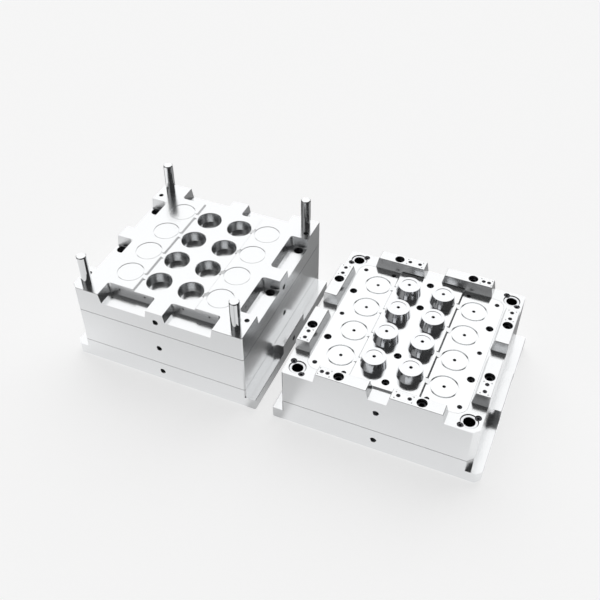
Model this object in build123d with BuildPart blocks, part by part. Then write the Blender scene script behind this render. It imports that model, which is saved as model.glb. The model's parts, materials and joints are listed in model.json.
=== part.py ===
from build123d import *
import os
from math import atan, degrees, radians, tan

os.makedirs("parts", exist_ok=True)

# Sauce cup mould: a hot half with the cup cavities and a core half with the cup cores.
# The halves lie open side by side, both faces up, as they do after the mould is split.
# Millimetres, X along the front edge, Y to the back, Z up.
# The origin is on the floor, midway between the two halves.

# Cup and lid
core_base_radius = 31.0
core_top_radius = 27.0
core_height = 24.5
cup_wall = 0.5
rim_lip = 1.0
rim_depth = 1.2
cup_pitch_x = 85.4
cup_pitch_y = 86.0
cup_rows = 4
lid_radius = 33.0
lid_wall = 0.6
lid_bead_width = 3.5
lid_bead_depth = 3.5
cavity_bead_width = 1.8
cavity_bead_depth = 1.8
hinge_length = 13.0
hinge_width = 14.5
strip_rise = 5.0
strip_gap = 0.3
strip_slope_run = 3.0
strip_edge_break = 0.5
core_recess_radius = 19.5
core_recess_depth = 1.0
air_hole_radius = 4.0
air_hole_depth = 26.0
air_line_radius = 1.75

# Plates
hot_clamp_height = 58.0
manifold_plate_height = 102.0
cavity_plate_height = 70.0
core_clamp_height = 66.0
core_plate_height = 98.0
half_gap = 94.0
corner_chamfer = 3.0
datum_chamfer = 13.0
edge_break = 0.8

# Clamp flanges
flange_reach = 25.0
ledge_height = 32.0
boss_length = 127.0
ledge_corner_radius = 13.0

# Core insert plate
insert_height = 40.0
insert_side_margin = 31.0
insert_end_margin = 30.0
insert_corner_radius = 26.0
insert_gap = 0.05
insert_edge_break = 0.6

# Core inserts of the cups
core_head_margin = 3.0
core_head_height = 6.0
core_fit = 0.02

# Wedge interlocks and their pockets
wedge_length = 128.0
wedge_pitch = 171.0
wedge_height = 26.0
wedge_depth_x = 37.5
wedge_depth_y = 35.5
wedge_angle = 11.0
wedge_land = 2.3
wedge_side_gap = 0.5
pocket_reach_gap_x = 8.5
pocket_reach_gap_y = 12.5
pocket_floor_gap = 1.0
pocket_corner_radius = 8.0
wall_hole_radius = 2.25
wall_hole_pitch = 69.0
wall_hole_drop = 12.5
wall_hole_depth = 12.0

# Rest pads let into the wedges
pad_width = 17.0
pad_height = 9.0
pad_gap = 0.05
pad_relief_radius = 1.6
short_pad_length = 26.5
long_pad_length = 38.6
side_pad_length = 34.6
short_pad_shift = 41.5
long_pad_shift = -31.0
side_pad_shift = 35.5
pad_screw_margin = 6.6
pad_screw_grip = 10.0

# Leader pins and guide bushings
pin_radius = 12.5
pin_reach = 81.0
pin_seat_margin = 0.5
pin_head_margin = 3.5
pin_head_height = 8.0
pin_lead = 2.0
pin_inset = 28.0
pin_fit = 0.02
bushing_fit = 0.05
bushing_wall = 4.0
bushing_head_radius = 19.0
bushing_head_height = 14.0
bushing_sink = 2.0
bushing_head_gap = 1.2
bushing_chamfer = 0.8
retainer_circle = 22.0
retainer_grip = 14.0

# Cap screws: radius of the shank, head and counterbore, height of the head, corner
# radius of the key, and how far the head lies below the face
m5 = {"shank": 2.5, "head": 4.25, "bore": 4.9, "height": 5.0, "key": 2.3, "sink": 1.5}
m6 = {"shank": 3.0, "head": 5.0, "bore": 5.8, "height": 6.0, "key": 2.9, "sink": 2.5}
m8 = {"shank": 4.0, "head": 6.5, "bore": 7.5, "height": 8.0, "key": 3.5, "sink": 2.0}
m10 = {"shank": 5.0, "head": 8.0, "bore": 9.0, "height": 10.0, "key": 4.6, "sink": 6.0}
m14 = {"shank": 7.0, "head": 10.5, "bore": 12.0, "height": 14.0, "key": 6.9, "sink": 8.0}
m16 = {"shank": 8.0, "head": 12.0, "bore": 13.0, "height": 16.0, "key": 8.1, "sink": 2.0}
shank_gap = 0.5
thread_fit = 0.05
tap_run_out = 4.0

# Screw places
wedge_screw_shift = 9.0
side_wedge_screw_shift = 1.0
wedge_screw_grip = 36.0
pocket_screw_shift = 46.0
pocket_screw_edge = 18.5
pocket_screw_grip = 30.0
clamp_screw_pitch_x = 340.0
clamp_screw_pitch_y = 300.0
clamp_screw_grip = 30.0
insert_screw_edge = 15.0
insert_screw_grip = 20.0
edge_screw_edge = 17.5
edge_screw_x = 96.0
edge_screw_grip = 12.0

# Lifting and handling holes
eyebolt_radius = 7.0
eyebolt_depth = 30.0
eyebolt_mouth = 0.8
core_eyebolt_rise = 12.0
handling_radius = 6.0
handling_depth = 25.0
handling_inset_x = 15.3
handling_inset_y = 58.3

# Hot runner
manifold_height = 44.0
manifold_leg_width = 44.0
manifold_bar_width = 60.0
manifold_end_reach = 34.0
manifold_air_gap = 10.0
runner_radius = 4.0
nozzle_head_radius = 19.0
nozzle_head_height = 20.0
nozzle_head_seat = 5.0
nozzle_radius = 11.0
nozzle_tip_radius = 2.0
nozzle_tip_length = 14.0
nozzle_bore_radius = 1.5
nozzle_seat_gap = 0.02
well_gap = 2.5
well_tip_gap = 1.25
gate_radius = 0.8
gate_land = 2.5
riser_radius = 12.0

# Locating ring and sprue bushing
ring_radius = 50.0
ring_bore_radius = 22.0
ring_height = 12.0
ring_gap = 0.05
ring_screw_circle = 36.0
ring_screw_grip = 12.0
sprue_body_radius = 18.0
sprue_head_radius = 28.0
sprue_head_height = 14.0
sprue_seat_radius = 20.0
sprue_seat_mouth = 14.0
sprue_bore_radius = 3.0

# Water lines, drilled from the back
water_radius = 5.0
water_port_radius = 7.0
water_port_depth = 18.0
water_end_wall = 40.0
water_line_count = 4
cavity_water_height = 22.0
cavity_water_pitch = 43.0
core_water_height = 20.0
core_water_pitch = 50.0

# Air grooves under the core insert plate
air_groove_width = 6.0
air_groove_depth = 5.0
air_inlet_radius = 5.0
air_inlet_drop = 11.0
air_inlet_x = 21.0

# Levels and places worked out from the sizes above
mouth_radius = core_base_radius + cup_wall
rim_radius = mouth_radius + rim_lip
cavity_depth = core_height + cup_wall
core_draft = degrees(atan((core_base_radius - core_top_radius) / core_height))
core_head_radius = core_base_radius + core_head_margin
cup_x = cup_pitch_x / 2
lid_x = cup_x + rim_radius + hinge_length + lid_radius
strip_half = cup_x + rim_radius + hinge_length / 2
strip_top_half = strip_half - strip_slope_run / 2
strip_foot_half = strip_half + strip_slope_run / 2
hinge_half = hinge_length / 2
row_half = cup_pitch_y * (cup_rows - 1) / 2
insert_half_x = lid_x + lid_radius + insert_side_margin
insert_half_y = row_half + lid_radius + insert_end_margin
plate_width = 2 * (insert_half_x + wedge_land + wedge_depth_x)
plate_depth = 2 * (insert_half_y + wedge_land + wedge_depth_y)
half_x = (plate_width + half_gap) / 2
cavity_seam = hot_clamp_height + manifold_plate_height
hot_face = cavity_seam + cavity_plate_height
hot_strip = hot_face - strip_rise
cup_floor = hot_strip - cavity_depth
core_face = core_clamp_height + core_plate_height
core_strip = core_face + strip_rise
core_top = core_strip + core_height
insert_floor = core_face - insert_height
wedge_top = core_face + wedge_height
wedge_slope = tan(radians(wedge_angle))
pocket_depth = wedge_height + pocket_floor_gap
pocket_floor = hot_face - pocket_depth
pin_x = plate_width / 2 - pin_inset
pin_y = plate_depth / 2 - pin_inset
pin_seat_radius = pin_radius + pin_seat_margin
pin_head_radius = pin_radius + pin_head_margin
bushing_radius = pin_radius + bushing_wall
manifold_floor = hot_clamp_height + manifold_air_gap
manifold_top = manifold_floor + manifold_height
nozzle_shoulder = manifold_top + nozzle_head_height
manifold_ceiling = nozzle_shoulder - nozzle_head_seat
nozzle_tip = cup_floor - gate_land
nozzle_step = nozzle_tip - nozzle_tip_length
well_radius = nozzle_radius + well_gap
leg_length = 2 * (row_half + manifold_end_reach)

hot = Plane((-half_x, 0, 0))
core = Plane((half_x, 0, 0))
hot_back = Plane(origin=(-half_x, 0, 0), x_dir=(1, 0, 0), z_dir=(0, 0, -1))
rows = [cup_pitch_y * (i - (cup_rows - 1) / 2) for i in range(cup_rows)]
cup_spots = [(side * cup_x, y) for y in rows for side in (-1, 1)]
lid_spots = [(side * lid_x, y) for y in rows for side in (-1, 1)]
corner_spots = [(sx * pin_x, sy * pin_y) for sy in (-1, 1) for sx in (-1, 1)]
corner_names = ["front_left", "front_right", "back_left", "back_right"]
front, right, back, left = range(4)


def side_plane(plane, side, height):
    """Upright plane on a side of a half: its x points up, its normal points outward."""
    out = Vector(0, -1, 0).rotate(Axis.Z, 90 * side)
    reach = plate_width / 2 if side in (left, right) else plate_depth / 2
    return Plane(origin=plane.origin + out * reach + Vector(0, 0, height), x_dir=(0, 0, 1), z_dir=out)


def side_frame(side):
    """Place on a side of a half, seen from above: x runs along the side, y points inward."""
    reach = plate_width / 2 if side in (left, right) else plate_depth / 2
    return Location((0, 0, 0), (0, 0, 90 * side)) * Location((0, -reach, 0))


def wedge_depth(side):
    return wedge_depth_x if side in (left, right) else wedge_depth_y


def pocket_reach(side):
    gap = pocket_reach_gap_x if side in (left, right) else pocket_reach_gap_y
    return wedge_depth(side) + gap


def wedge_top_middle(side):
    """Distance from the side face to the middle of a wedge's top."""
    return (wedge_depth(side) - wedge_height * wedge_slope) / 2


def wedge_middles(side):
    return [side_frame(side) * Location((hand * wedge_pitch / 2, 0, 0)) for hand in (-1, 1)]


# Rest pads: name, place on the wedge and length
pad_list = []
for side, hand, name in (
    (front, -1, "front_left"),
    (front, 1, "front_right"),
    (right, -1, "right_front"),
    (right, 1, "right_back"),
    (back, -1, "back_right"),
    (back, 1, "back_left"),
    (left, -1, "left_back"),
    (left, 1, "left_front"),
):
    if side in (left, right):
        pad_shift, pad_length = side_pad_shift, side_pad_length
    elif hand < 0:
        pad_shift, pad_length = short_pad_shift, short_pad_length
    else:
        pad_shift, pad_length = long_pad_shift, long_pad_length
    along = hand * (wedge_pitch / 2 + pad_shift)
    place = side_frame(side) * Location((along, wedge_top_middle(side), 0))
    pad_list.append((name, place, pad_length))

pad_screw_spots = []
for name, place, length in pad_list:
    for hand in (-1, 1):
        pad_screw_spots.append(place * Location((hand * (length / 2 - pad_screw_margin), 0, 0)))

wedge_screw_spots = []
for side in (front, right, back, left):
    shift = side_wedge_screw_shift if side in (left, right) else wedge_screw_shift
    for hand in (-1, 1):
        along = hand * (wedge_pitch / 2 + shift)
        wedge_screw_spots.append(side_frame(side) * Location((along, wedge_top_middle(side), 0)))

pocket_screw_x = plate_width / 2 - pocket_screw_edge
pocket_screw_spots = [
    (sx * pocket_screw_x, sy * wedge_pitch / 2 + pocket_screw_shift) for sx in (-1, 1) for sy in (-1, 1)
]
clamp_screw_spots = [
    (sx * clamp_screw_pitch_x / 2, sy * clamp_screw_pitch_y / 2) for sx in (-1, 1) for sy in (-1, 1)
]
ring_screw_spots = [
    Location((0, 0, 0), (0, 0, 45 + 90 * i)) * Location((ring_screw_circle, 0, 0)) for i in range(4)
]
strip_screw_spots = [(0, sy * k * cup_pitch_y) for sy in (-1, 1) for k in (1, 2)]
side_screw_spots = [
    (sx * (insert_half_x - insert_screw_edge), sy * cup_pitch_y) for sx in (-1, 1) for sy in (-1, 1)
]
edge_screw_spots = [
    (sx * (insert_half_x - edge_screw_edge), k * 2 * cup_pitch_y) for sx in (-1, 1) for k in (-1, 0, 1)
]
edge_screw_spots += [
    (sx * edge_screw_x, sy * (insert_half_y - insert_screw_edge)) for sx in (-1, 1) for sy in (-1, 1)
]

retainer_spots = []
for x, y in corner_spots:
    turn = 135 if x * y > 0 else 45
    for half_turn in (0, 180):
        spin = Location((x, y, 0), (0, 0, turn + half_turn))
        retainer_spots.append(spin * Location((retainer_circle, 0, 0)))


def plate_outline(plane, width, datum_side):
    """Plate outline with three small corners and the large datum corner at the front."""
    with BuildSketch(plane) as outline:
        Rectangle(width, plate_depth)
        datum = (datum_side * width / 2, -plate_depth / 2, 0)
        chamfer(outline.vertices().sort_by_distance(datum)[0], datum_chamfer)
        chamfer(outline.vertices().sort_by_distance(datum)[2:], corner_chamfer)
    return outline.sketch


def clamp_plate(plane, height, datum_side):
    """Clamp plate: a ledge along each side, with a boss of full height in its middle."""
    middle = plane.origin.X
    full_width = plate_width + 2 * flange_reach
    with BuildPart() as plate:
        extrude(plate_outline(plane, full_width, datum_side), amount=ledge_height)
        extrude(plate_outline(plane, plate_width, datum_side), amount=height)
        with BuildSketch(plane):
            Rectangle(full_width, boss_length)
        extrude(amount=height)
        inner = plate.edges().filter_by(Axis.Z).filter_by(
            lambda e: abs(abs(e.center().X - middle) - plate_width / 2) < 0.01
            and abs(abs(e.center().Y) - boss_length / 2) < 0.01
        )
        fillet(inner, ledge_corner_radius)
        rims = plate.edges().filter_by(Axis.Y).filter_by(
            lambda e: abs(abs(e.center().X - middle) - full_width / 2) < 0.01 and e.center().Z > edge_break
        )
        chamfer(rims, edge_break)
        chamfer(plate.faces().sort_by(Axis.Z)[0].edges(), edge_break)
    return plate


def strip_profile(plane, gap):
    """Cross-section of the cup strip, wider at its foot, which lies on the plane's x axis."""
    foot = strip_foot_half + gap
    top = strip_top_half + gap
    with BuildSketch(plane) as profile:
        with BuildLine():
            Polyline((-foot, 0), (foot, 0), (top, strip_rise), (-top, strip_rise), close=True)
        make_face()
    return profile.sketch


def eyebolt_holes(planes):
    """Tool for blind lifting holes, each with a small countersink at its mouth."""
    with BuildPart() as tool:
        for face in planes:
            with BuildSketch(face):
                Circle(eyebolt_radius)
            extrude(amount=-eyebolt_depth)
            with BuildSketch(face):
                Circle(eyebolt_radius + eyebolt_mouth)
            extrude(amount=-eyebolt_mouth, taper=45)
    return tool


def clamp_eyebolt_holes(plane, height):
    """The lifting holes round a clamp plate: in its front, its back and its two bosses."""
    faces = [side_plane(plane, side, height / 2) for side in (front, back)]
    faces += [side_plane(plane, side, height / 2).offset(flange_reach) for side in (right, left)]
    return eyebolt_holes(faces)


def water_lines(face, pitch):
    """Tool for the blind water lines drilled from a back face, with wider ports."""
    with BuildPart() as tool:
        with BuildSketch(face):
            with GridLocations(0, pitch, 1, water_line_count):
                Circle(water_radius)
        extrude(amount=water_end_wall - plate_depth)
        with BuildSketch(face):
            with GridLocations(0, pitch, 1, water_line_count):
                Circle(water_port_radius)
        extrude(amount=-water_port_depth)
    return tool


def screw_holes(face, spots, size, depth):
    """Tool for counterbored clearance holes, from a face down to the depth given."""
    with BuildPart() as tool:
        with BuildSketch(face):
            with Locations(*spots):
                Circle(size["bore"])
        extrude(amount=-size["height"] - size["sink"])
        with BuildSketch(face):
            with Locations(*spots):
                Circle(size["shank"] + shank_gap)
        extrude(amount=-depth)
    return tool


def tapped_holes(face, spots, size, grip):
    """Tool for the blind tapped holes that take the ends of a set of screws."""
    with BuildPart() as tool:
        with BuildSketch(face):
            with Locations(*spots):
                Circle(size["shank"] + thread_fit)
        extrude(amount=-grip - tap_run_out)
    return tool


def cap_screws(face, spots, size, length):
    """Socket cap screws seated below a face, each a solid of its own."""
    seat_depth = size["height"] + size["sink"]
    with BuildPart() as screws:
        with BuildSketch(face.offset(-seat_depth)):
            with Locations(*spots):
                Circle(size["head"])
        extrude(amount=size["height"])
        with BuildSketch(face.offset(-seat_depth)):
            with Locations(*spots):
                Circle(size["shank"])
        extrude(amount=seat_depth - length)
        with BuildSketch(face.offset(-size["sink"])):
            with Locations(*spots):
                RegularPolygon(size["key"], 6)
        extrude(amount=-size["height"] / 2, mode=Mode.SUBTRACT)
    return screws


def save(piece, name):
    piece.part.label = name
    export_step(piece.part, "parts/" + name + ".step")


# Hot clamp plate, against the machine's fixed platen
hot_clamp_blank = clamp_plate(hot, hot_clamp_height, -1)
hot_clamp_eyebolts = clamp_eyebolt_holes(hot, hot_clamp_height)
hot_clamp_holes = screw_holes(hot_back, clamp_screw_spots, m16, hot_clamp_height)
ring_taps = tapped_holes(hot_back.offset(-ring_height), ring_screw_spots, m6, ring_screw_grip)
with BuildPart() as hot_clamp_plate:
    add(hot_clamp_blank.part)
    add(hot_clamp_eyebolts.part, mode=Mode.SUBTRACT)
    add(hot_clamp_holes.part, mode=Mode.SUBTRACT)
    add(ring_taps.part, mode=Mode.SUBTRACT)
    with BuildSketch(hot):
        Circle(ring_radius + ring_gap)
    extrude(amount=ring_height, mode=Mode.SUBTRACT)
    with BuildSketch(hot.offset(ring_height)):
        Circle(sprue_head_radius + ring_gap)
    extrude(amount=sprue_head_height, mode=Mode.SUBTRACT)
    with BuildSketch(hot.offset(ring_height)):
        Circle(sprue_body_radius + ring_gap)
    extrude(amount=hot_clamp_height, mode=Mode.SUBTRACT)
save(hot_clamp_plate, "hot_clamp_plate")

hot_clamp_screws = cap_screws(hot_back, clamp_screw_spots, m16, hot_clamp_height + clamp_screw_grip)
save(hot_clamp_screws, "hot_clamp_screws")

# Locating ring, flush with the back of the clamp plate
ring_holes = screw_holes(hot_back, ring_screw_spots, m6, ring_height)
with BuildPart() as locating_ring:
    with BuildSketch(hot):
        Circle(ring_radius)
        Circle(ring_bore_radius, mode=Mode.SUBTRACT)
    extrude(amount=ring_height)
    chamfer(locating_ring.faces().sort_by(Axis.Z)[0].edges(), edge_break)
    add(ring_holes.part, mode=Mode.SUBTRACT)
save(locating_ring, "locating_ring")

locating_ring_screws = cap_screws(hot_back, ring_screw_spots, m6, ring_height + ring_screw_grip)
save(locating_ring_screws, "locating_ring_screws")

# Sprue bushing, from the seat of the machine's nozzle to the manifold
sprue_seat_depth = sprue_seat_radius - (sprue_seat_radius**2 - sprue_seat_mouth**2) ** 0.5
sprue_shoulder = ring_height + sprue_head_height
with BuildPart() as sprue_bushing:
    with BuildSketch(Plane(origin=(-half_x, 0, 0), x_dir=(1, 0, 0), z_dir=(0, -1, 0))):
        with BuildLine():
            Polyline(
                (sprue_seat_mouth, ring_height),
                (sprue_head_radius, ring_height),
                (sprue_head_radius, sprue_shoulder),
                (sprue_body_radius, sprue_shoulder),
                (sprue_body_radius, manifold_floor),
                (runner_radius, manifold_floor),
                (sprue_bore_radius, ring_height + sprue_seat_depth),
            )
            RadiusArc(
                (sprue_bore_radius, ring_height + sprue_seat_depth),
                (sprue_seat_mouth, ring_height),
                -sprue_seat_radius,
            )
        make_face()
    revolve(axis=Axis((-half_x, 0, 0), (0, 0, 1)))
save(sprue_bushing, "sprue_bushing")

# Manifold plate, with an H shaped pocket that opens towards the clamp plate
manifold_middle = hot_clamp_height + manifold_plate_height / 2
manifold_eyebolts = eyebolt_holes([side_plane(hot, side, manifold_middle) for side in range(4)])
manifold_taps = tapped_holes(hot.offset(cavity_seam), pocket_screw_spots, m14, pocket_screw_grip)
with BuildPart() as manifold_plate:
    extrude(plate_outline(hot.offset(hot_clamp_height), plate_width, -1), amount=manifold_plate_height)
    chamfer(manifold_plate.faces().sort_by(Axis.Z)[0].edges(), edge_break)
    chamfer(manifold_plate.faces().sort_by(Axis.Z)[-1].edges(), edge_break)
    with BuildSketch(hot.offset(hot_clamp_height)):
        with GridLocations(cup_pitch_x, 0, 2, 1):
            RectangleRounded(
                manifold_leg_width + 2 * manifold_air_gap,
                leg_length + 2 * manifold_air_gap,
                manifold_air_gap,
            )
        Rectangle(cup_pitch_x, manifold_bar_width + 2 * manifold_air_gap)
    extrude(amount=manifold_ceiling - hot_clamp_height, mode=Mode.SUBTRACT)
    with BuildSketch(hot.offset(manifold_ceiling)):
        with Locations(*cup_spots):
            Circle(nozzle_head_radius + nozzle_seat_gap)
    extrude(amount=nozzle_head_seat, mode=Mode.SUBTRACT)
    with BuildSketch(hot.offset(nozzle_shoulder)):
        with Locations(*cup_spots):
            Circle(well_radius)
    extrude(amount=manifold_plate_height, mode=Mode.SUBTRACT)
    with BuildSketch(hot.offset(hot_clamp_height)):
        with Locations(*clamp_screw_spots):
            Circle(m16["shank"] + thread_fit)
    extrude(amount=clamp_screw_grip + tap_run_out, mode=Mode.SUBTRACT)
    add(manifold_taps.part, mode=Mode.SUBTRACT)
    add(manifold_eyebolts.part, mode=Mode.SUBTRACT)
save(manifold_plate, "manifold_plate")

# Hot runner manifold with its melt channels
runner_height = manifold_floor + manifold_height / 2
with BuildPart() as hot_runner_manifold:
    with BuildSketch(hot.offset(manifold_floor)):
        with GridLocations(cup_pitch_x, 0, 2, 1):
            Rectangle(manifold_leg_width, leg_length)
        Rectangle(cup_pitch_x, manifold_bar_width)
    extrude(amount=manifold_height)
    with BuildSketch(Plane(origin=(-half_x, 0, runner_height), x_dir=(0, 1, 0), z_dir=(1, 0, 0))):
        Circle(runner_radius)
    extrude(amount=cup_x, both=True, mode=Mode.SUBTRACT)
    with BuildSketch(Plane(origin=(-half_x, 0, runner_height), x_dir=(1, 0, 0), z_dir=(0, -1, 0))):
        with GridLocations(cup_pitch_x, 0, 2, 1):
            Circle(runner_radius)
    extrude(amount=row_half + runner_radius, both=True, mode=Mode.SUBTRACT)
    with BuildSketch(hot.offset(manifold_floor)):
        Circle(runner_radius)
    extrude(amount=manifold_height / 2, mode=Mode.SUBTRACT)
    with BuildSketch(hot.offset(manifold_top)):
        with Locations(*cup_spots):
            Circle(nozzle_bore_radius)
    extrude(amount=-manifold_height / 2, mode=Mode.SUBTRACT)
save(hot_runner_manifold, "hot_runner_manifold")

# Risers, which hold the manifold off the clamp plate under its four ends
riser_spots = [(sx * cup_x, sy * row_half) for sy in (-1, 1) for sx in (-1, 1)]
for name, spot in zip(corner_names, riser_spots):
    with BuildPart() as manifold_riser:
        with BuildSketch(hot.offset(hot_clamp_height)):
            with Locations(spot):
                Circle(riser_radius)
        extrude(amount=manifold_air_gap)
    save(manifold_riser, "manifold_riser_" + name)

# Nozzles, from the manifold to the gates
for number, (x, y) in enumerate(cup_spots, 1):
    with BuildPart() as nozzle:
        with BuildSketch(Plane(origin=(x - half_x, y, 0), x_dir=(1, 0, 0), z_dir=(0, -1, 0))):
            with BuildLine():
                Polyline(
                    (nozzle_bore_radius, manifold_top),
                    (nozzle_head_radius, manifold_top),
                    (nozzle_head_radius, nozzle_shoulder),
                    (nozzle_radius, nozzle_shoulder),
                    (nozzle_radius, nozzle_step),
                    (nozzle_tip_radius, nozzle_tip),
                    (gate_radius, nozzle_tip),
                    (nozzle_bore_radius, nozzle_step),
                    close=True,
                )
            make_face()
        revolve(axis=Axis((x - half_x, y, 0), (0, 0, 1)))
    save(nozzle, "nozzle_" + str(number))

# Cavity plate: a lowered cup strip, the cups, lid recesses, hinge ramps and wedge pockets
cavity_middle = cavity_seam + cavity_plate_height / 2
cavity_eyebolts = eyebolt_holes([side_plane(hot, side, cavity_middle) for side in (front, right, left)])
cavity_water = water_lines(side_plane(hot, back, cavity_seam + cavity_water_height), cavity_water_pitch)
cavity_screw_holes = screw_holes(
    hot.offset(pocket_floor), pocket_screw_spots, m14, pocket_floor - cavity_seam
)
with BuildPart() as cavity_plate:
    extrude(plate_outline(hot.offset(cavity_seam), plate_width, -1), amount=cavity_plate_height)
    chamfer(cavity_plate.faces().sort_by(Axis.Z)[0].edges(), edge_break)
    chamfer(cavity_plate.faces().sort_by(Axis.Z)[-1].edges(), edge_break)
    strip_plane = Plane(origin=(-half_x, 0, hot_face), x_dir=(1, 0, 0), z_dir=(0, 1, 0))
    extrude(strip_profile(strip_plane, strip_gap), amount=plate_depth / 2, both=True, mode=Mode.SUBTRACT)
    strip_edges = cavity_plate.edges().filter_by(Axis.Y).filter_by(
        lambda e: abs(abs(e.center().X + half_x) - strip_foot_half - strip_gap) < 0.01
        and abs(e.center().Z - hot_face) < 0.01
    )
    chamfer(strip_edges, strip_edge_break)
    for y in rows:
        for side in (-1, 1):
            wall = side * (strip_half + strip_gap)
            with BuildSketch(Plane(origin=(-half_x, y, hot_strip), x_dir=(1, 0, 0), z_dir=(0, -1, 0))):
                with BuildLine():
                    Polyline(
                        (wall - side * hinge_half, -strip_rise),
                        (wall, -strip_rise),
                        (wall, strip_rise / 2),
                        (wall - side * hinge_half, 0),
                        close=True,
                    )
                make_face()
            extrude(amount=hinge_width / 2, both=True)
            with BuildSketch(Plane(origin=(-half_x, y, hot_face), x_dir=(1, 0, 0), z_dir=(0, -1, 0))):
                with BuildLine():
                    Polyline(
                        (wall, 0),
                        (wall + side * hinge_half, 0),
                        (wall, -strip_rise / 2),
                        close=True,
                    )
                make_face()
            extrude(amount=hinge_width / 2, both=True, mode=Mode.SUBTRACT)
    with BuildSketch(hot.offset(hot_strip)):
        with Locations(*cup_spots):
            Circle(mouth_radius)
    extrude(amount=-cavity_depth, taper=core_draft, mode=Mode.SUBTRACT)
    with BuildSketch(hot.offset(hot_strip)):
        with Locations(*cup_spots):
            Circle(rim_radius)
    extrude(amount=-rim_depth, mode=Mode.SUBTRACT)
    with BuildSketch(hot.offset(hot_face)):
        with Locations(*lid_spots):
            Circle(lid_radius)
    extrude(amount=-lid_wall, mode=Mode.SUBTRACT)
    with BuildSketch(hot.offset(hot_face)):
        with Locations(*lid_spots):
            Circle(lid_radius)
            Circle(lid_radius - cavity_bead_width, mode=Mode.SUBTRACT)
    extrude(amount=-lid_wall - cavity_bead_depth, mode=Mode.SUBTRACT)
    for x, y in cup_spots:
        with BuildSketch(Plane(origin=(x - half_x, y, 0), x_dir=(1, 0, 0), z_dir=(0, -1, 0))):
            with BuildLine():
                Polyline(
                    (0, cavity_seam),
                    (well_radius, cavity_seam),
                    (well_radius, nozzle_step),
                    (nozzle_tip_radius + well_tip_gap, nozzle_tip),
                    (gate_radius, nozzle_tip),
                    (gate_radius, cup_floor),
                    (0, cup_floor),
                    close=True,
                )
            make_face()
        revolve(axis=Axis((x - half_x, y, 0), (0, 0, 1)), mode=Mode.SUBTRACT)
    for side in range(4):
        with BuildSketch(hot.offset(hot_face)):
            with Locations(*wedge_middles(side)):
                RectangleRounded(
                    wedge_length + 2 * wedge_side_gap, 2 * pocket_reach(side), pocket_corner_radius
                )
        extrude(amount=-pocket_depth, taper=wedge_angle, mode=Mode.SUBTRACT)
        wall_plane = side_plane(hot, side, hot_face - wall_hole_drop).offset(-wedge_depth(side))
        wall_holes = [
            (0, hand * wedge_pitch / 2 + step * wall_hole_pitch / 2) for hand in (-1, 1) for step in (-1, 1)
        ]
        with BuildSketch(wall_plane):
            with Locations(*wall_holes):
                Circle(wall_hole_radius)
        extrude(amount=wedge_depth(side) - pocket_reach(side) - wall_hole_depth, mode=Mode.SUBTRACT)
    add(cavity_screw_holes.part, mode=Mode.SUBTRACT)
    with BuildSketch(hot.offset(cavity_seam)):
        with Locations(*corner_spots):
            Circle(pin_seat_radius + pin_fit)
    extrude(amount=cavity_plate_height, mode=Mode.SUBTRACT)
    with BuildSketch(hot.offset(cavity_seam)):
        with Locations(*corner_spots):
            Circle(pin_head_radius + pin_fit)
    extrude(amount=pin_head_height, mode=Mode.SUBTRACT)
    with BuildSketch(hot.offset(hot_face)):
        with GridLocations(plate_width - 2 * handling_inset_x, plate_depth - 2 * handling_inset_y, 2, 2):
            Circle(handling_radius)
    extrude(amount=-handling_depth, mode=Mode.SUBTRACT)
    add(cavity_water.part, mode=Mode.SUBTRACT)
    add(cavity_eyebolts.part, mode=Mode.SUBTRACT)
save(cavity_plate, "cavity_plate")

cavity_screw_length = pocket_floor - cavity_seam + pocket_screw_grip
cavity_plate_screws = cap_screws(hot.offset(pocket_floor), pocket_screw_spots, m14, cavity_screw_length)
save(cavity_plate_screws, "cavity_plate_screws")

# Leader pins, put in from the back of the cavity plate and held by their heads and seats
for name, spot in zip(corner_names, corner_spots):
    with BuildPart() as leader_pin:
        with BuildSketch(hot.offset(cavity_seam)):
            with Locations(spot):
                Circle(pin_head_radius)
        extrude(amount=pin_head_height)
        with BuildSketch(hot.offset(cavity_seam)):
            with Locations(spot):
                Circle(pin_seat_radius)
        extrude(amount=cavity_plate_height)
        with BuildSketch(hot.offset(hot_face)):
            with Locations(spot):
                Circle(pin_radius)
        extrude(amount=pin_reach)
        chamfer(leader_pin.faces().sort_by(Axis.Z)[-1].edges(), pin_lead)
    save(leader_pin, "leader_pin_" + name)

# Core clamp plate, against the machine's moving platen
core_clamp_blank = clamp_plate(core, core_clamp_height, 1)
core_clamp_eyebolts = clamp_eyebolt_holes(core, core_clamp_height)
core_clamp_taps = tapped_holes(core.offset(core_clamp_height), wedge_screw_spots, m14, wedge_screw_grip)
with BuildPart() as core_clamp_plate:
    add(core_clamp_blank.part)
    add(core_clamp_eyebolts.part, mode=Mode.SUBTRACT)
    add(core_clamp_taps.part, mode=Mode.SUBTRACT)
save(core_clamp_plate, "core_clamp_plate")

# Core plate with eight solid wedges, the insert pocket and the bushing seats
core_eyebolt_height = core_clamp_height + core_plate_height / 2 + core_eyebolt_rise
core_eyebolts = eyebolt_holes([side_plane(core, front, core_eyebolt_height)])
core_water = water_lines(side_plane(core, back, core_clamp_height + core_water_height), core_water_pitch)
wedge_screw_holes = screw_holes(
    core.offset(wedge_top), wedge_screw_spots, m14, wedge_top - core_clamp_height
)
retainer_seat = m8["height"] + m8["sink"]
retainer_holes = screw_holes(core.offset(core_face), retainer_spots, m8, retainer_seat)
retainer_taps = tapped_holes(core.offset(core_face - retainer_seat), retainer_spots, m8, retainer_grip)
strip_taps = tapped_holes(core.offset(insert_floor), strip_screw_spots, m10, insert_screw_grip)
side_taps = tapped_holes(core.offset(insert_floor), side_screw_spots, m10, insert_screw_grip)
edge_taps = tapped_holes(core.offset(insert_floor), edge_screw_spots, m6, edge_screw_grip)
pad_taps = tapped_holes(core.offset(wedge_top - pad_height), pad_screw_spots, m5, pad_screw_grip)
air_inlet_height = insert_floor - air_groove_depth - air_inlet_drop
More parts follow.
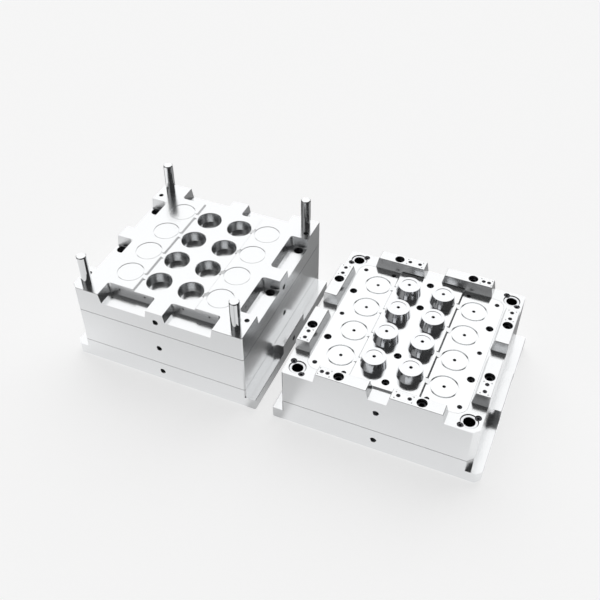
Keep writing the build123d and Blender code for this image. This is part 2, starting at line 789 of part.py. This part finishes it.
with BuildPart() as core_plate:
    extrude(plate_outline(core.offset(core_clamp_height), plate_width, 1), amount=core_plate_height)
    chamfer(core_plate.faces().sort_by(Axis.Z)[0].edges(), edge_break)
    for side in range(4):
        with BuildSketch(core.offset(core_face)):
            with Locations(*wedge_middles(side)):
                Rectangle(wedge_length, 2 * wedge_depth(side))
        extrude(amount=wedge_height, taper=wedge_angle)
    extrude(
        plate_outline(core.offset(core_clamp_height), plate_width, 1),
        amount=core_plate_height + wedge_height,
        mode=Mode.INTERSECT,
    )
    chamfer(core_plate.faces().group_by(Axis.Z)[-1].edges(), edge_break)
    with BuildSketch(core.offset(core_face)):
        RectangleRounded(
            2 * (insert_half_x + insert_gap), 2 * (insert_half_y + insert_gap), insert_corner_radius
        )
    extrude(amount=-insert_height, mode=Mode.SUBTRACT)
    with BuildSketch(core.offset(core_face)):
        with Locations(*corner_spots):
            Circle(bushing_radius + pin_fit)
    extrude(amount=-core_plate_height, mode=Mode.SUBTRACT)
    with BuildSketch(core.offset(core_face)):
        with Locations(*corner_spots):
            Circle(bushing_head_radius + bushing_head_gap)
    extrude(amount=-bushing_head_height, mode=Mode.SUBTRACT)
    add(retainer_holes.part, mode=Mode.SUBTRACT)
    add(retainer_taps.part, mode=Mode.SUBTRACT)
    add(wedge_screw_holes.part, mode=Mode.SUBTRACT)
    for name, place, length in pad_list:
        with BuildSketch(core.offset(wedge_top)):
            with Locations(place):
                Rectangle(length + 2 * pad_gap, pad_width + 2 * pad_gap)
                with GridLocations(length, pad_width, 2, 2):
                    Circle(pad_relief_radius)
        extrude(amount=-pad_height, mode=Mode.SUBTRACT)
    add(pad_taps.part, mode=Mode.SUBTRACT)
    add(strip_taps.part, mode=Mode.SUBTRACT)
    add(side_taps.part, mode=Mode.SUBTRACT)
    add(edge_taps.part, mode=Mode.SUBTRACT)
    with BuildSketch(core.offset(insert_floor)):
        for x in (-lid_x, -cup_x, cup_x, lid_x):
            with Locations((x, 0)):
                Rectangle(air_groove_width, 2 * row_half + air_groove_width)
        Rectangle(2 * lid_x, air_groove_width)
    extrude(amount=-air_groove_depth, mode=Mode.SUBTRACT)
    with BuildSketch(core.offset(insert_floor)):
        with GridLocations(2 * air_inlet_x, 0, 2, 1):
            Circle(air_groove_width / 2)
    extrude(amount=air_inlet_height - insert_floor, mode=Mode.SUBTRACT)
    with BuildSketch(side_plane(core, back, air_inlet_height)):
        with GridLocations(0, 2 * air_inlet_x, 1, 2):
            Circle(air_inlet_radius)
    extrude(amount=-plate_depth / 2 - air_inlet_radius, mode=Mode.SUBTRACT)
    add(core_water.part, mode=Mode.SUBTRACT)
    add(core_eyebolts.part, mode=Mode.SUBTRACT)
save(core_plate, "core_plate")

wedge_screw_length = wedge_top - core_clamp_height + wedge_screw_grip
core_plate_screws = cap_screws(core.offset(wedge_top), wedge_screw_spots, m14, wedge_screw_length)
save(core_plate_screws, "core_plate_screws")

# Core insert plate: a raised cup strip, hinge ramps, lid beads and the seats of the cup cores
strip_screw_holes = screw_holes(
    core.offset(core_strip), strip_screw_spots, m10, core_strip - insert_floor
)
side_screw_holes = screw_holes(core.offset(core_face), side_screw_spots, m10, insert_height)
edge_screw_holes = screw_holes(core.offset(core_face), edge_screw_spots, m6, insert_height)
with BuildPart() as core_insert_plate:
    with BuildSketch(core.offset(insert_floor)):
        RectangleRounded(2 * insert_half_x, 2 * insert_half_y, insert_corner_radius)
    extrude(amount=insert_height)
    chamfer(core_insert_plate.faces().sort_by(Axis.Z)[-1].edges(), insert_edge_break)
    with BuildSketch(core.offset(insert_floor)):
        Rectangle(2 * strip_foot_half, 2 * insert_half_y)
    extrude(amount=insert_height)
    strip_plane = Plane(origin=(half_x, 0, core_face), x_dir=(1, 0, 0), z_dir=(0, -1, 0))
    extrude(strip_profile(strip_plane, 0), amount=insert_half_y, both=True)
    chamfer(core_insert_plate.edges().filter_by(Axis.Y).group_by(Axis.Z)[-1], strip_edge_break)
    for y in rows:
        for side in (-1, 1):
            wall = side * strip_half
            with BuildSketch(Plane(origin=(half_x, y, core_face), x_dir=(1, 0, 0), z_dir=(0, -1, 0))):
                with BuildLine():
                    Polyline(
                        (wall - side * hinge_half, strip_rise),
                        (wall, strip_rise),
                        (wall, strip_rise / 2),
                        close=True,
                    )
                make_face()
            extrude(amount=hinge_width / 2, both=True, mode=Mode.SUBTRACT)
            with BuildSketch(Plane(origin=(half_x, y, core_face), x_dir=(1, 0, 0), z_dir=(0, -1, 0))):
                with BuildLine():
                    Polyline(
                        (wall, -strip_rise),
                        (wall + side * hinge_half, -strip_rise),
                        (wall + side * hinge_half, 0),
                        (wall, strip_rise / 2),
                        close=True,
                    )
                make_face()
            extrude(amount=hinge_width / 2, both=True)
    with BuildSketch(core.offset(insert_floor)):
        with Locations(*cup_spots):
            Circle(core_base_radius + core_fit)
    extrude(amount=insert_height + strip_rise, mode=Mode.SUBTRACT)
    with BuildSketch(core.offset(insert_floor)):
        with Locations(*cup_spots):
            Circle(core_head_radius + core_fit)
    extrude(amount=core_head_height, mode=Mode.SUBTRACT)
    with BuildSketch(core.offset(core_face)):
        with Locations(*lid_spots):
            Circle(lid_radius)
            Circle(lid_radius - lid_bead_width, mode=Mode.SUBTRACT)
    extrude(amount=-lid_bead_depth, mode=Mode.SUBTRACT)
    with BuildSketch(core.offset(core_face)):
        with Locations(*lid_spots):
            Circle(air_hole_radius)
    extrude(amount=-air_hole_depth, mode=Mode.SUBTRACT)
    with BuildSketch(core.offset(core_face)):
        with Locations(*lid_spots):
            Circle(air_line_radius)
    extrude(amount=-insert_height, mode=Mode.SUBTRACT)
    add(strip_screw_holes.part, mode=Mode.SUBTRACT)
    add(side_screw_holes.part, mode=Mode.SUBTRACT)
    add(edge_screw_holes.part, mode=Mode.SUBTRACT)
save(core_insert_plate, "core_insert_plate")

strip_screw_length = core_strip - insert_floor + insert_screw_grip
insert_strip_screws = cap_screws(core.offset(core_strip), strip_screw_spots, m10, strip_screw_length)
save(insert_strip_screws, "insert_strip_screws")

side_screw_length = insert_height + insert_screw_grip
insert_side_screws = cap_screws(core.offset(core_face), side_screw_spots, m10, side_screw_length)
save(insert_side_screws, "insert_side_screws")

edge_screw_length = insert_height + edge_screw_grip
insert_edge_screws = cap_screws(core.offset(core_face), edge_screw_spots, m6, edge_screw_length)
save(insert_edge_screws, "insert_edge_screws")

# Cup cores: headed bodies that carry the inside form of the cup
recess_floor = core_top - core_recess_depth
for number, (x, y) in enumerate(cup_spots, 1):
    with BuildPart() as cup_core:
        with BuildSketch(Plane(origin=(x + half_x, y, 0), x_dir=(1, 0, 0), z_dir=(0, -1, 0))):
            with BuildLine():
                Polyline(
                    (air_line_radius, insert_floor),
                    (core_head_radius, insert_floor),
                    (core_head_radius, insert_floor + core_head_height),
                    (core_base_radius, insert_floor + core_head_height),
                    (core_base_radius, core_strip),
                    (core_top_radius, core_top),
                    (core_recess_radius, core_top),
                    (core_recess_radius, recess_floor),
                    (air_hole_radius, recess_floor),
                    (air_hole_radius, recess_floor - air_hole_depth),
                    (air_line_radius, recess_floor - air_hole_depth),
                    close=True,
                )
            make_face()
        revolve(axis=Axis((x + half_x, y, 0), (0, 0, 1)))
    save(cup_core, "cup_core_" + str(number))

# Guide bushings, with two scallops under the heads of the retaining screws
for name, spot in zip(corner_names, corner_spots):
    with BuildPart() as guide_bushing:
        with BuildSketch(core.offset(core_face - bushing_sink)):
            with Locations(spot):
                Circle(bushing_head_radius)
        extrude(amount=bushing_sink - bushing_head_height)
        with BuildSketch(core.offset(core_clamp_height)):
            with Locations(spot):
                Circle(bushing_radius)
        extrude(amount=core_plate_height - bushing_head_height)
        with BuildSketch(core.offset(core_face)):
            with Locations(spot):
                Circle(pin_radius + bushing_fit)
        extrude(amount=-core_plate_height, mode=Mode.SUBTRACT)
        chamfer(guide_bushing.faces().sort_by(Axis.Z)[-1].edges(), bushing_chamfer)
        with BuildSketch(core.offset(core_face)):
            with Locations(*retainer_spots):
                Circle(m8["bore"])
        extrude(amount=-retainer_seat, mode=Mode.SUBTRACT)
        with BuildSketch(core.offset(core_face)):
            with Locations(*retainer_spots):
                Circle(m8["shank"] + shank_gap)
        extrude(amount=-bushing_head_height, mode=Mode.SUBTRACT)
    save(guide_bushing, "guide_bushing_" + name)

bushing_screws = cap_screws(core.offset(core_face), retainer_spots, m8, retainer_seat + retainer_grip)
save(bushing_screws, "bushing_screws")

# Rest pads let into the tops of the wedges
pad_screw_holes = screw_holes(core.offset(wedge_top), pad_screw_spots, m5, pad_height)
for name, place, length in pad_list:
    with BuildPart() as rest_pad:
        with BuildSketch(core.offset(wedge_top)):
            with Locations(place):
                Rectangle(length, pad_width)
        extrude(amount=-pad_height)
        add(pad_screw_holes.part, mode=Mode.SUBTRACT)
    save(rest_pad, "rest_pad_" + name)

pad_screws = cap_screws(core.offset(wedge_top), pad_screw_spots, m5, pad_height + pad_screw_grip)
save(pad_screws, "pad_screws")

print("plates", plate_width, "x", plate_depth, "hot half", hot_face, "core half", core_face)
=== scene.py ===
# %% [markdown]
# # Sauce cup mould
#
# A two-half injection mould lies open on a pale studio floor. The solids come finished
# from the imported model, so this lesson is about looks: how tool steel that has been
# ground and lapped sends back the light of a studio, and how to light it.
#
# The first cell loads the model. Each object's place is in its mesh, in metres.

# %% Load the model
import json
import math

import bpy
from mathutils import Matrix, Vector

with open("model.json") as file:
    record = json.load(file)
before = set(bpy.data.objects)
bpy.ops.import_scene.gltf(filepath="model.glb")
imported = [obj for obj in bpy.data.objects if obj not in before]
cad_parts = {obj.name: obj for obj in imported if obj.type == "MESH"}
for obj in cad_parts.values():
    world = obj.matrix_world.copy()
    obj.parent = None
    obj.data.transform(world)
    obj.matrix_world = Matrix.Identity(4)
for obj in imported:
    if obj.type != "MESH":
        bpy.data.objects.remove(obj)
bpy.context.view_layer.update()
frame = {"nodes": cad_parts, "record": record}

# %% [markdown]
# ## Two helpers
#
# Colours are written as the sRGB hex values that a picture shows, and shaders work in
# linear light, so one function turns the one into the other. A second function adds a
# node with its settings and its links, which keeps every material below readable.

# %% Colour and node helpers
def linear(hex_colour):
    """A linear RGBA colour from an sRGB hex value."""
    parts = [int(hex_colour[i:i + 2], 16) / 255 for i in (1, 3, 5)]
    return [c / 12.92 if c <= 0.04045 else ((c + 0.055) / 1.055) ** 2.4 for c in parts] + [1.0]


def add_node(tree, kind, settings=None, links=None):
    """Adds a node. Settings name attributes or input sockets, and links name input sockets."""
    node = tree.nodes.new(kind)
    for name, value in (settings or {}).items():
        if isinstance(name, str) and hasattr(node, name):
            setattr(node, name, value)
        else:
            node.inputs[name].default_value = value
    for name, source in (links or {}).items():
        tree.links.new(source, node.inputs[name])
    return node


print("white is", linear("#ffffff")[:3])

# %% [markdown]
# ## Camera
#
# The photograph looks down on the open mould from the front right. A lens of 50 mm on a
# 36 mm sensor, 1.56 m up and pointed 43 degrees down, gives its perspective. The view
# transform is Standard, so a colour renders as it is written.

# %% Camera
lens_mm = 50.25
sensor_mm = 36
camera_place = (0.5776, -1.3687, 1.5555)
degrees_down = 43.02
degrees_left = 23.06

lens = bpy.data.cameras.new("studio_camera")
lens.sensor_width = sensor_mm
lens.lens = lens_mm
camera = bpy.data.objects.new("studio_camera", lens)
camera.location = camera_place
camera.rotation_euler = (math.pi / 2 - math.radians(degrees_down), 0, math.radians(degrees_left))
bpy.context.scene.collection.objects.link(camera)
bpy.context.scene.camera = camera
bpy.context.scene.view_settings.view_transform = "Standard"
print("camera at", [round(v, 3) for v in camera.location])

# %% [markdown]
# ## Studio
#
# Polished steel has hardly any colour of its own: it shows the studio. So the studio is
# a dark room with a pale backdrop low down all round, which every ray sees, and two soft
# boxes. A soft box is a direction, two angles and two levels: it has its own level
# inside the first angle and the level beside it outside the second. The large one hangs
# behind the mould, just where the tops send the eye. All that lies beside it stays dark,
# and that draws every wall, groove and bevel as a crisp dark line. The backdrop's
# heights are the sines of about 5 and 12 degrees above the horizon.

# %% Studio
room_level = 0.05
soft_boxes = [
    ("behind", (-0.192, 0.718, 0.669), 34, 46, 1.34, room_level),
    ("front left", (-0.47, -0.79, 0.39), 14, 42, 0.36, 0.0),
]
backdrop_level = 0.92
backdrop_full_height = 0.09
backdrop_end_height = 0.20

studio = bpy.data.worlds.new("studio_sky")
bpy.context.scene.world = studio
studio.use_nodes = True
tree = studio.node_tree
tree.nodes.clear()
direction = add_node(tree, "ShaderNodeTexCoord").outputs["Generated"]
levels = []
for name, towards, full_angle, gone_angle, box_level, level_beside in soft_boxes:
    facing = add_node(tree, "ShaderNodeVectorMath", {
        "operation": "DOT_PRODUCT", 1: Vector(towards).normalized()}, {0: direction})
    soft_box = add_node(tree, "ShaderNodeMapRange", {
        "interpolation_type": "SMOOTHSTEP",
        "From Min": math.cos(math.radians(gone_angle)),
        "From Max": math.cos(math.radians(full_angle)),
        "To Min": level_beside, "To Max": box_level}, {"Value": facing.outputs["Value"]})
    levels.append(soft_box.outputs["Result"])
both_boxes = add_node(tree, "ShaderNodeMath", {"operation": "ADD"}, dict(enumerate(levels)))
height = add_node(tree, "ShaderNodeSeparateXYZ", {}, {"Vector": direction})
backdrop = add_node(tree, "ShaderNodeMapRange", {
    "interpolation_type": "SMOOTHSTEP",
    "From Min": backdrop_full_height, "From Max": backdrop_end_height,
    "To Min": backdrop_level, "To Max": 0.0}, {"Value": height.outputs["Z"]})
level = add_node(tree, "ShaderNodeMath", {"operation": "MAXIMUM"}, {
    0: both_boxes.outputs[0], 1: backdrop.outputs["Result"]})
light = add_node(tree, "ShaderNodeBackground", {"Strength": 1.0}, {"Color": level.outputs[0]})
add_node(tree, "ShaderNodeOutputWorld", {}, {"Surface": light.outputs[0]})
print("soft boxes", [name for name, *rest in soft_boxes])

# %% [markdown]
# ## Floor
#
# The floor is a pale sweep, as bright as the backdrop. Most of its light is its own, and
# the rest is lit, so the mould still leaves a soft shadow where it stands. Other rays
# than those of the camera, of mirrors and of glass meet plain matt paint.
#
# Steel walls mirror the floor beside them, and in the photograph those walls are partly
# dark. So mirrored rays see a painted level that changes along the floor: painted shade
# sinks it behind the mould and in the gap between the halves, less so at the front end of
# the gap, and it falls off a little in front of the mould. Each row below has an axis, two
# places on it in metres, and the level at each.

# %% Floor
floor_colour = "#f5f5f5"
own_light = 0.75
# Painted shade on the floor's glow, seen only by mirrored rays: behind the mould, in the gap
# between the halves and in front.
painted_floor_shade = {
    "behind": ("Y", 0.14, 0.28, 1.0, 0.08),
    "off the gap": ("X", 0.02, 0.06, 0.12, 1.0),
    "along the gap": ("Y", -0.30, 0.0, 0.65, 0.12),
    "in front": ("Y", -0.44, -0.24, 0.74, 0.98),
}

floor_paint = bpy.data.materials.new("pale_floor")
floor_paint.use_nodes = True
tree = floor_paint.node_tree
tree.nodes.clear()
place = add_node(tree, "ShaderNodeTexCoord")
spot = add_node(tree, "ShaderNodeSeparateXYZ", {}, {"Vector": place.outputs["Object"]})
off_middle = add_node(tree, "ShaderNodeMath", {"operation": "ABSOLUTE"}, {0: spot.outputs["X"]})
distance = {"X": off_middle.outputs[0], "Y": spot.outputs["Y"]}
level_at = {}
for name, (axis, start, end, start_level, end_level) in painted_floor_shade.items():
    level_at[name] = add_node(tree, "ShaderNodeMapRange", {
        "interpolation_type": "SMOOTHSTEP", "From Min": start, "From Max": end,
        "To Min": start_level, "To Max": end_level}, {"Value": distance[axis]}).outputs["Result"]
gap = add_node(tree, "ShaderNodeMath", {"operation": "MAXIMUM"}, {
    0: level_at["off the gap"], 1: level_at["along the gap"]})
gap_and_front = add_node(tree, "ShaderNodeMath", {"operation": "MULTIPLY"}, {
    0: level_at["in front"], 1: gap.outputs[0]})
# The painted shade as one level, which only mirrored rays see.
mirrored_level = add_node(tree, "ShaderNodeMath", {"operation": "MULTIPLY"}, {
    0: level_at["behind"], 1: gap_and_front.outputs[0]})
glow = add_node(tree, "ShaderNodeEmission", {"Color": linear(floor_colour), "Strength": own_light})
mirrored = add_node(tree, "ShaderNodeEmission", {"Color": linear(floor_colour)}, {
    "Strength": mirrored_level.outputs[0]})
rays = add_node(tree, "ShaderNodeLightPath")
shown = add_node(tree, "ShaderNodeMixShader", {}, {
    0: rays.outputs["Is Glossy Ray"], 1: glow.outputs[0], 2: mirrored.outputs[0]})
lit_part = add_node(tree, "ShaderNodeBsdfDiffuse", {"Color": linear("#bcbcbc")})
shown_and_lit = add_node(tree, "ShaderNodeAddShader", {}, {
    0: shown.outputs[0], 1: lit_part.outputs[0]})
matt_paint = add_node(tree, "ShaderNodeBsdfDiffuse", {"Color": linear("#e6e6e6")})
camera_or_mirror = add_node(tree, "ShaderNodeMath", {"operation": "MAXIMUM"}, {
    0: rays.outputs["Is Camera Ray"], 1: rays.outputs["Is Glossy Ray"]})
or_glass = add_node(tree, "ShaderNodeMath", {"operation": "MAXIMUM"}, {
    0: camera_or_mirror.outputs[0], 1: rays.outputs["Is Transmission Ray"]})
surface = add_node(tree, "ShaderNodeMixShader", {}, {
    0: or_glass.outputs[0], 1: matt_paint.outputs[0], 2: shown_and_lit.outputs[0]})
add_node(tree, "ShaderNodeOutputMaterial", {}, {"Surface": surface.outputs[0]})
print("floor levels", list(painted_floor_shade))

# %% [markdown]
# The sheet itself is one flat square, half a millimetre under the mould so that the two
# never share a plane.

# %% Floor sheet
half_floor = 6.0
floor_drop = 0.0005

floor_mesh = bpy.data.meshes.new("floor")
floor_mesh.from_pydata(
    [(-half_floor, -half_floor, 0), (half_floor, -half_floor, 0),
     (half_floor, half_floor, 0), (-half_floor, half_floor, 0)], [], [(0, 1, 2, 3)])
floor = bpy.data.objects.new("floor", floor_mesh)
floor.location.z = -floor_drop
floor_mesh.materials.append(floor_paint)
bpy.context.scene.collection.objects.link(floor)
print("floor", 2 * half_floor, "m square")

# %% [markdown]
# ## Ground steel
#
# Every piece is a tool steel, and what tells them apart is how the surface was made.
# Grinding leaves fine straight lines. A thin stretched noise in the roughness and the
# bump gives them, read from Object coordinates, so they have their scale on every face.
# They run along X, or along Y on faces that look along X, and on a round pin that means
# around it, as a cylindrical grinder leaves them.
#
# The real lines are a tenth of a millimetre apart, too fine to show from here, so they
# are drawn half a millimetre to a millimetre apart. The tops of the plates are ground
# finest, since they have to seal, and the walls a little rougher.

# %% Ground steel
line_stretch = 40.0
noise_detail = 3.0
noise_low = 0.3
noise_high = 0.7
side_facing = 0.7
top_from = 0.95
top_full = 0.99


def ground_steel(name, colour, rough_low, rough_high, line_mm, relief_mm, wall_rough=0.0):
    """Steel with grinding lines. Walls are rougher than the tops by wall_rough."""
    steel = bpy.data.materials.new(name)
    steel.use_nodes = True
    tree = steel.node_tree
    shader = tree.nodes["Principled BSDF"]
    shader.inputs["Base Color"].default_value = linear(colour)
    shader.inputs["Metallic"].default_value = 1.0
    place = add_node(tree, "ShaderNodeTexCoord")
    facing = add_node(tree, "ShaderNodeNewGeometry")
    normal = add_node(tree, "ShaderNodeSeparateXYZ", {}, {"Vector": facing.outputs["Normal"]})
    across = 1000.0 / line_mm
    along = across / line_stretch
    lines_x = add_node(tree, "ShaderNodeMapping", {"Scale": (along, across, across)}, {
        "Vector": place.outputs["Object"]})
    lines_y = add_node(tree, "ShaderNodeMapping", {"Scale": (across, along, across)}, {
        "Vector": place.outputs["Object"]})
    sideways = add_node(tree, "ShaderNodeMath", {"operation": "ABSOLUTE"}, {
        0: normal.outputs["X"]})
    is_side = add_node(tree, "ShaderNodeMath", {"operation": "GREATER_THAN", 1: side_facing}, {
        0: sideways.outputs[0]})
    lines = add_node(tree, "ShaderNodeMix", {"data_type": "VECTOR"}, {
        "Factor": is_side.outputs[0], 4: lines_x.outputs[0], 5: lines_y.outputs[0]})
    grain = add_node(tree, "ShaderNodeTexNoise", {"Scale": 1.0, "Detail": noise_detail}, {
        "Vector": lines.outputs[1]})
    rough = add_node(tree, "ShaderNodeMapRange", {
        "From Min": noise_low, "From Max": noise_high,
        "To Min": rough_low, "To Max": rough_high}, {"Value": grain.outputs["Fac"]})
    upright = add_node(tree, "ShaderNodeMath", {"operation": "ABSOLUTE"}, {
        0: normal.outputs["Z"]})
    wall = add_node(tree, "ShaderNodeMapRange", {
        "From Min": top_from, "From Max": top_full,
        "To Min": wall_rough, "To Max": 0.0}, {"Value": upright.outputs[0]})
    finish = add_node(tree, "ShaderNodeMath", {"operation": "ADD"}, {
        0: rough.outputs["Result"], 1: wall.outputs["Result"]})
    bump = add_node(tree, "ShaderNodeBump", {"Strength": 1.0, "Distance": relief_mm / 1000}, {
        "Height": grain.outputs["Fac"]})
    tree.links.new(finish.outputs[0], shader.inputs["Roughness"])
    tree.links.new(bump.outputs["Normal"], shader.inputs["Normal"])
    return steel


print("grinding lines are", line_stretch, "times as long as they are wide")

# %% [markdown]
# ## Seams
#
# Where plates are screwed together little light gets into their seam, and painted shade
# draws a dark line around the mould there. It is a band on the walls at the height of each
# seam, in the base colour alone. The bands of the two halves differ, so each one has its
# range in X. A real seam is thinner, and it is drawn 0.9 mm wide to show from here.

# %% Seams
plate_seams = [(-0.6, 0.0, 0.058), (-0.6, 0.0, 0.160), (0.0, 0.6, 0.066)]
seam_width = 0.0009
wall_facing = 0.9
# The colour of the painted shade in the seams.
seam_shade_colour = "#1c1c1e"


def paint_seam_shade(steel, colour):
    """Paints shade into the steel's colour in the seams between the plates."""
    tree = steel.node_tree
    place = add_node(tree, "ShaderNodeTexCoord")
    spot = add_node(tree, "ShaderNodeSeparateXYZ", {}, {"Vector": place.outputs["Object"]})
    facing = add_node(tree, "ShaderNodeNewGeometry")
    normal = add_node(tree, "ShaderNodeSeparateXYZ", {}, {"Vector": facing.outputs["Normal"]})
    on_wall = add_node(tree, "ShaderNodeMath", {
        "operation": "COMPARE", 1: 0.0, 2: wall_facing}, {0: normal.outputs["Z"]})
    lines = []
    for x_from, x_to, seam in plate_seams:
        in_half = add_node(tree, "ShaderNodeMath", {
            "operation": "COMPARE", 1: (x_from + x_to) / 2, 2: (x_to - x_from) / 2}, {
            0: spot.outputs["X"]})
        at_seam = add_node(tree, "ShaderNodeMath", {
            "operation": "COMPARE", 1: seam, 2: seam_width / 2}, {0: spot.outputs["Z"]})
        line = add_node(tree, "ShaderNodeMath", {"operation": "MULTIPLY"}, {
            0: in_half.outputs[0], 1: at_seam.outputs[0]})
        lines.append(line.outputs[0])
    two_lines = add_node(tree, "ShaderNodeMath", {"operation": "ADD"}, {0: lines[0], 1: lines[1]})
    all_lines = add_node(tree, "ShaderNodeMath", {"operation": "ADD"}, {
        0: two_lines.outputs[0], 1: lines[2]})
    # Painted shade: the dark band on the walls at each seam.
    seam_shade_mask = add_node(tree, "ShaderNodeMath", {"operation": "MULTIPLY"}, {
        0: all_lines.outputs[0], 1: on_wall.outputs[0]})
    seamed = add_node(tree, "ShaderNodeMix", {
        "data_type": "RGBA", 6: linear(colour), 7: linear(seam_shade_colour)}, {"Factor": seam_shade_mask.outputs[0]})
    tree.links.new(seamed.outputs[2], tree.nodes["Principled BSDF"].inputs["Base Color"])


print("seams at", [seam for x_from, x_to, seam in plate_seams], "m")

# %% [markdown]
# ## Finishes
#
# Each steel has its colour, the roughness between and in its lines, the distance and
# the depth of the lines, and what its walls add to the roughness.

# %% Finishes
plate_colour = "#dfe0e1"
finishes = {
    # Plates from a surface grinder: soft mirrors with fine straight lines.
    "plate_steel": ground_steel(
        "ground_tool_steel", plate_colour, 0.16, 0.22, 0.8, 0.0002, 0.05),
    # The insert plate is lapped after grinding, so its top is smoother and a little paler.
    "insert_steel": ground_steel(
        "lapped_insert_steel", "#e2e3e4", 0.10, 0.16, 0.8, 0.0001, 0.06),
    # Cores are turned and polished for a clear cup: bright, with sharp mirror images.
    "core_steel": ground_steel(
        "polished_core_steel", "#dfe0e2", 0.08, 0.12, 0.6, 0.0001, 0.08),
    # Leader pins are hardened and ground round, close to a mirror, for the bushings.
    "pin_steel": ground_steel(
        "ground_pin_steel", "#dfe0e1", 0.03, 0.06, 0.6, 0.0001),
    # Bushings are ground as the pins are, and a shade darker.
    "bushing_steel": ground_steel(
        "ground_bushing_steel", "#d6d7d9", 0.06, 0.10, 0.6, 0.0002),
    # Rest pads are lapped flat, since the halves meet on them.
    "pad_steel": ground_steel(
        "lapped_pad_steel", "#e0e1e2", 0.04, 0.07, 0.6, 0.0001),
    # Cap screws are black oxide: dark, with a dull sheen.
    "screw_steel": ground_steel(
        "blackened_screw_steel", "#4a4a4d", 0.22, 0.34, 0.5, 0.0005),
    # The manifold is milled and left so, with coarser marks.
    "manifold_steel": ground_steel(
        "milled_manifold_steel", "#b4b6b9", 0.15, 0.25, 1.0, 0.0008),
}
# Painted shade in the seams between the plates.
paint_seam_shade(finishes["plate_steel"], plate_colour)

piece_slot = {entry["node"]: entry["material_slot"] for entry in frame["record"]["subparts"]}
for name, piece in frame["nodes"].items():
    for place in piece.material_slots:
        place.material = finishes[piece_slot[name]]
print("finished", len(piece_slot), "pieces in", len(finishes), "steels")
